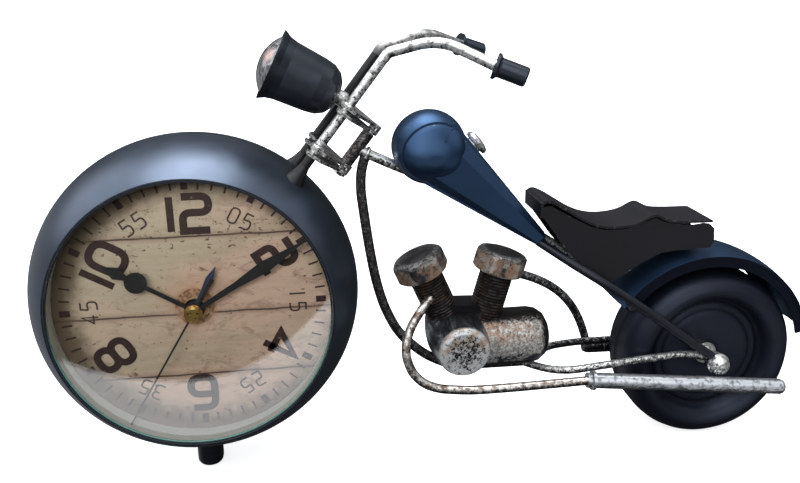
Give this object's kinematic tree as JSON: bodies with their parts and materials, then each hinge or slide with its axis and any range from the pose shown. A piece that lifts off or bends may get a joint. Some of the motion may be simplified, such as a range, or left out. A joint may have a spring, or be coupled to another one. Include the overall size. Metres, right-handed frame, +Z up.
{
  "type": "motorcycle-shaped table alarm clock",
  "caption": "Free-standing quartz alarm clock shaped like a chopper motorcycle of sheet metal and rod, with the round clock as its front wheel.",
  "frame": {"origin": "centre of the overall box in plan, at the height of the surface it stands on", "axes": "+X from the clock to the tail, +Y away from the side the dial faces, +Z up"},
  "size_m": [0.3336, 0.0788, 0.1856],
  "materials": {
    "case_paint": "satin black, slightly blue",
    "silver_worn": "silver dry-brushed over black",
    "black_paint": "satin black",
    "blue_paint": "satin dark blue",
    "seat_paint": "matte dark grey-brown",
    "patina": "rust brown rubbed with silver",
    "bright_silver": "silver with dark speckle",
    "grip_black": "satin black",
    "glass": "clear float glass",
    "lens": "clear moulded",
    "liner": "pale grey-green",
    "dial": "printed paper on sheet",
    "brass": "polished",
    "plastic_black": "moulded",
    "plastic_white": "moulded",
    "hand_black": "matte black",
    "hand_blue": "matte dark blue",
    "steel": "plain",
    "nickel": "nickel plated",
    "copper_coil": "enamelled wire",
    "board_green": "laminate",
    "battery_film": "printed film over a steel can",
    "wheel_black": "satin black, slightly blue"
  },
  "bodies": {
    "frame": {"neck_tube": "silver_worn", "backbone_tube": "silver_worn", "down_tube": "silver_worn", "seat_stay_left": "black_paint", "seat_stay_right": "black_paint", "chain_stay_left": "silver_worn", "chain_stay_right": "black_paint", "rear_axle": "steel", "axle_fittings": "bright_silver", "rear_fender": "blue_paint", "fender_bracket": "silver_worn", "tank_lids": "blue_paint", "tank_band": "blue_paint", "tank_cap": "bright_silver", "seat_top": "seat_paint", "seat_sides": "seat_paint", "crankcase": "bright_silver", "gearbox": "patina", "cylinder_front": "patina", "cylinder_rear": "patina", "exhaust_pipe_left": "silver_worn", "exhaust_pipe_right": "silver_worn", "muffler_left": "bright_silver", "muffler_right": "black_paint"},
    "front_end": {"clock_case": "case_paint", "back_pan": "black_paint", "foot": "black_paint", "clock_glass": "glass", "spacer_ring": "liner", "dial_plate": "dial", "bushing_nut": "brass", "movement_case": "plastic_black", "movement_cover": "plastic_black", "battery_contacts": "nickel", "motor_coil": "copper_coil", "circuit_board": "board_green", "buzzer": "brass", "fork_legs": "silver_worn", "handlebars": "silver_worn", "grips": "grip_black", "steering_stem": "steel", "upper_yoke": "silver_worn", "lower_yoke": "silver_worn", "headlight_shell": "black_paint", "headlight_lens": "lens", "headlight_reflector": "nickel", "headlight_bracket": "silver_worn"},
    "rear_wheel": {"wheel_shell_left": "wheel_black", "wheel_shell_right": "wheel_black", "wheel_hub": "steel"},
    "hour_hand": {"hour_hand": "hand_black"},
    "minute_hand": {"minute_hand": "hand_black"},
    "second_hand": {"second_hand": "hand_black"},
    "alarm_hand": {"alarm_hand": "hand_blue"},
    "drive_wheel": {"drive_wheel": "plastic_white"},
    "rotor": {"rotor": "plastic_white"},
    "set_knob": {"set_knob": "plastic_black"},
    "alarm_knob": {"alarm_knob": "plastic_black"},
    "alarm_switch": {"alarm_switch": "plastic_black"},
    "battery": {"battery": "battery_film"}
  },
  "joints": [
    {"name": "steering", "type": "hinge", "parent": "frame", "child": "front_end", "pos_m": [-0.03321, 0, 0.1387], "axis": [0.6198, 0, 0.7848], "range_deg": [-20, 20]},
    {"name": "rear_wheel_spin", "type": "hinge", "parent": "frame", "child": "rear_wheel", "pos_m": [0.12189, 0, 0.0396], "axis": [0, 1, 0], "continuous": true},
    {"name": "minute_hand_turn", "type": "hinge", "parent": "front_end", "child": "minute_hand", "pos_m": [-0.10081, 0, 0.0811], "axis": [0, 1, 0], "continuous": true},
    {"name": "hour_hand_turn", "type": "hinge", "parent": "front_end", "child": "hour_hand", "pos_m": [-0.10081, 0, 0.0811], "axis": [0, 1, 0], "continuous": true},
    {"name": "set_knob_turn", "type": "hinge", "parent": "front_end", "child": "set_knob", "pos_m": [-0.10081, 0, 0.0811], "axis": [0, 1, 0], "continuous": true},
    {"name": "second_hand_turn", "type": "hinge", "parent": "front_end", "child": "second_hand", "pos_m": [-0.10081, 0, 0.0811], "axis": [0, 1, 0], "continuous": true},
    {"name": "drive_wheel_turn", "type": "hinge", "parent": "front_end", "child": "drive_wheel", "pos_m": [-0.09491, 0, 0.087], "axis": [0, 1, 0], "continuous": true},
    {"name": "rotor_turn", "type": "hinge", "parent": "front_end", "child": "rotor", "pos_m": [-0.09041, 0, 0.0915], "axis": [0, 1, 0], "continuous": true},
    {"name": "alarm_hand_turn", "type": "hinge", "parent": "front_end", "child": "alarm_hand", "pos_m": [-0.10081, 0, 0.0811], "axis": [0, 1, 0], "continuous": true},
    {"name": "alarm_knob_turn", "type": "hinge", "parent": "front_end", "child": "alarm_knob", "pos_m": [-0.11231, 0, 0.0811], "axis": [0, 1, 0], "continuous": true},
    {"name": "alarm_switch_slide", "type": "slide", "parent": "front_end", "child": "alarm_switch", "axis": [1, 0, 0], "range_m": [0, 0.004]},
    {"name": "battery_slide", "type": "slide", "parent": "front_end", "child": "battery", "axis": [0, 1, 0], "range_m": [0, 0.022]}
  ],
  "couplings": [
    {"joint": "hour_hand_turn", "follows": "minute_hand_turn", "ratio": 0.083333},
    {"joint": "set_knob_turn", "follows": "minute_hand_turn", "ratio": 1},
    {"joint": "drive_wheel_turn", "follows": "second_hand_turn", "ratio": -7.5},
    {"joint": "rotor_turn", "follows": "second_hand_turn", "ratio": 30},
    {"joint": "alarm_knob_turn", "follows": "alarm_hand_turn", "ratio": -1.8}
  ]
}
